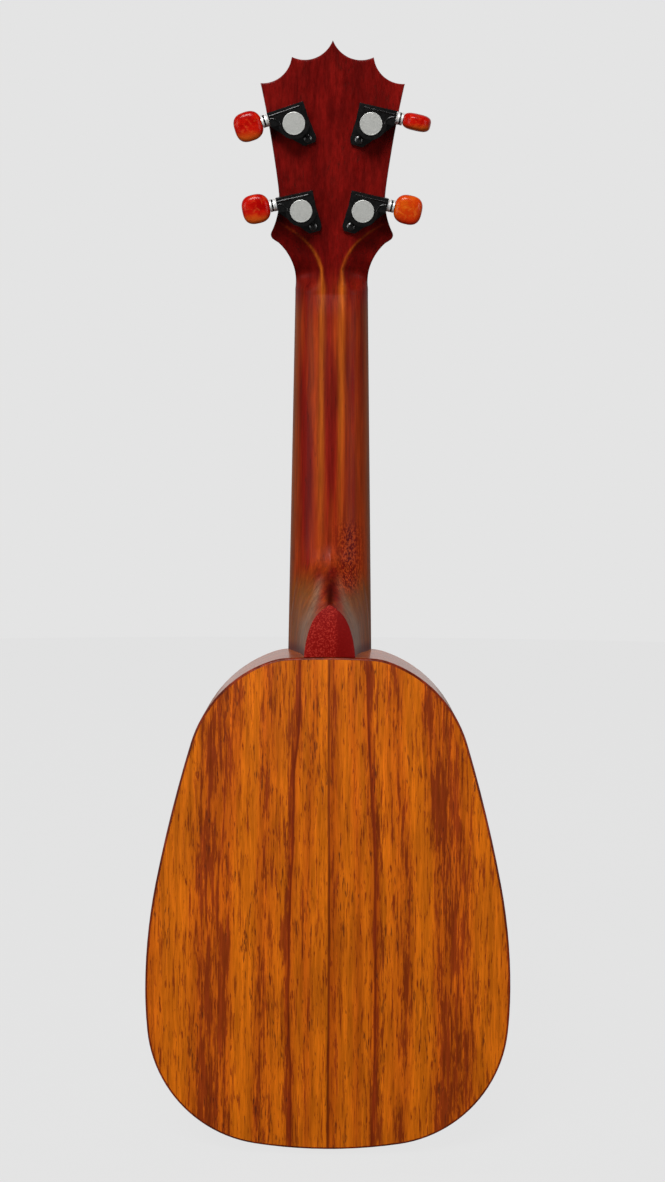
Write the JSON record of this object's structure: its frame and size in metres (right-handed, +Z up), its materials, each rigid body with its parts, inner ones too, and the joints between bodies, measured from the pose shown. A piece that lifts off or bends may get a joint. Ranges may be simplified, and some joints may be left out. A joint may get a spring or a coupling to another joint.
{
  "type": "soprano pineapple ukulele",
  "caption": "Small four-string fretted lute with an oval body, a book-matched back, a scalloped headstock and geared tuning machines.",
  "frame": {"origin": "centre line of the neck where the fingerboard meets the nut, in the plane where neck and fingerboard are glued", "axes": "+Z up the neck towards the headstock, -Y out of the back, +Y out of the soundboard, +X to the bass string's side"},
  "size_m": [0.1756, 0.0735, 0.5345],
  "materials": {
    "back_wood": "high gloss koa, book-matched",
    "side_wood": "high gloss koa",
    "top_wood": "high gloss koa",
    "inner_wood": "bare, sanded",
    "neck_wood": "cherry stain under high gloss",
    "heel_cap_wood": "red stain under high gloss",
    "head_veneer_wood": "high gloss koa",
    "fingerboard_wood": "oiled rosewood",
    "bridge_wood": "oiled rosewood",
    "rosette_inlay": "ring inlay under gloss",
    "fret_metal": "polished nickel silver",
    "marker_pearl": "pearl",
    "bone": "polished bone",
    "string_nylon": "clear nylon",
    "housing_black": "gloss black die casting",
    "cover_metal": "satin with a bright rim",
    "bright_plating": "bright plated",
    "shaft_steel": "turned steel",
    "wheel_brass": "cut brass",
    "screw_metal": "darkened steel",
    "washer_nylon": "white nylon",
    "button_red": "red pearl",
    "button_orange": "orange pearl"
  },
  "bodies": {
    "root": {"back_braces": "inner_wood", "back_left": "back_wood", "back_linings": "inner_wood", "back_right": "back_wood", "back_seam_strip": "inner_wood", "bridge": "bridge_wood", "bridge_patch": "inner_wood", "fingerboard": "fingerboard_wood", "fret_markers": "marker_pearl", "frets": "fret_metal", "head_veneer": "head_veneer_wood", "heel_cap": "heel_cap_wood", "neck": "neck_wood", "neck_block": "inner_wood", "neck_dowel": "inner_wood", "nut": "bone", "rosette": "rosette_inlay", "saddle": "bone", "shaft_washers": "washer_nylon", "side_left": "side_wood", "side_right": "side_wood", "soundboard_left": "top_wood", "soundboard_right": "top_wood", "string_a": "string_nylon", "string_c": "string_nylon", "string_e": "string_nylon", "string_g": "string_nylon", "tail_block": "inner_wood", "top_braces": "inner_wood", "top_linings": "inner_wood", "tuner_bushings": "bright_plating", "tuner_covers": "cover_metal", "tuner_housing_a": "housing_black", "tuner_housing_c": "housing_black", "tuner_housing_e": "housing_black", "tuner_housing_g": "housing_black", "tuner_screws": "screw_metal", "tuner_washers": "bright_plating"},
    "knob_g": {"worm_shaft_g": "shaft_steel", "button_g": "button_orange"},
    "post_g": {"string_post_g": "bright_plating", "worm_wheel_g": "wheel_brass", "string_winding_g": "string_nylon"},
    "knob_c": {"worm_shaft_c": "shaft_steel", "button_c": "button_red"},
    "post_c": {"string_post_c": "bright_plating", "worm_wheel_c": "wheel_brass", "string_winding_c": "string_nylon"},
    "knob_e": {"worm_shaft_e": "shaft_steel", "button_e": "button_red"},
    "post_e": {"string_post_e": "bright_plating", "worm_wheel_e": "wheel_brass", "string_winding_e": "string_nylon"},
    "knob_a": {"worm_shaft_a": "shaft_steel", "button_a": "button_red"},
    "post_a": {"string_post_a": "bright_plating", "worm_wheel_a": "wheel_brass", "string_winding_a": "string_nylon"}
  },
  "joints": [
    {"name": "knob_g_spin", "type": "hinge", "parent": "root", "child": "knob_g", "pos_m": [0.0161, -0.02607, 0.0478], "axis": [0.9781, 0.0432, -0.2034], "continuous": true},
    {"name": "post_g_spin", "type": "hinge", "parent": "root", "child": "post_g", "pos_m": [0.015, -0.02049, 0.04369], "axis": [0, -0.9781, -0.2079], "continuous": true},
    {"name": "knob_c_spin", "type": "hinge", "parent": "root", "child": "knob_c", "pos_m": [0.0196, -0.03463, 0.0881], "axis": [0.9781, 0.0432, -0.2034], "continuous": true},
    {"name": "post_c_spin", "type": "hinge", "parent": "root", "child": "post_c", "pos_m": [0.0185, -0.02906, 0.08399], "axis": [0, -0.9781, -0.2079], "continuous": true},
    {"name": "knob_e_spin", "type": "hinge", "parent": "root", "child": "knob_e", "pos_m": [-0.02014, -0.0346, 0.08796], "axis": [0.9511, -0.0642, 0.3023], "continuous": true},
    {"name": "post_e_spin", "type": "hinge", "parent": "root", "child": "post_e", "pos_m": [-0.0185, -0.02906, 0.08399], "axis": [0, -0.9781, -0.2079], "continuous": true},
    {"name": "knob_a_spin", "type": "hinge", "parent": "root", "child": "knob_a", "pos_m": [-0.0161, -0.02607, 0.0478], "axis": [0.9781, -0.0432, 0.2034], "continuous": true},
    {"name": "post_a_spin", "type": "hinge", "parent": "root", "child": "post_a", "pos_m": [-0.015, -0.02049, 0.04369], "axis": [0, -0.9781, -0.2079], "continuous": true}
  ],
  "couplings": [
    {"joint": "post_g_spin", "follows": "knob_g_spin", "ratio": 0.071429},
    {"joint": "post_c_spin", "follows": "knob_c_spin", "ratio": 0.071429},
    {"joint": "post_e_spin", "follows": "knob_e_spin", "ratio": -0.071429},
    {"joint": "post_a_spin", "follows": "knob_a_spin", "ratio": -0.071429}
  ]
}
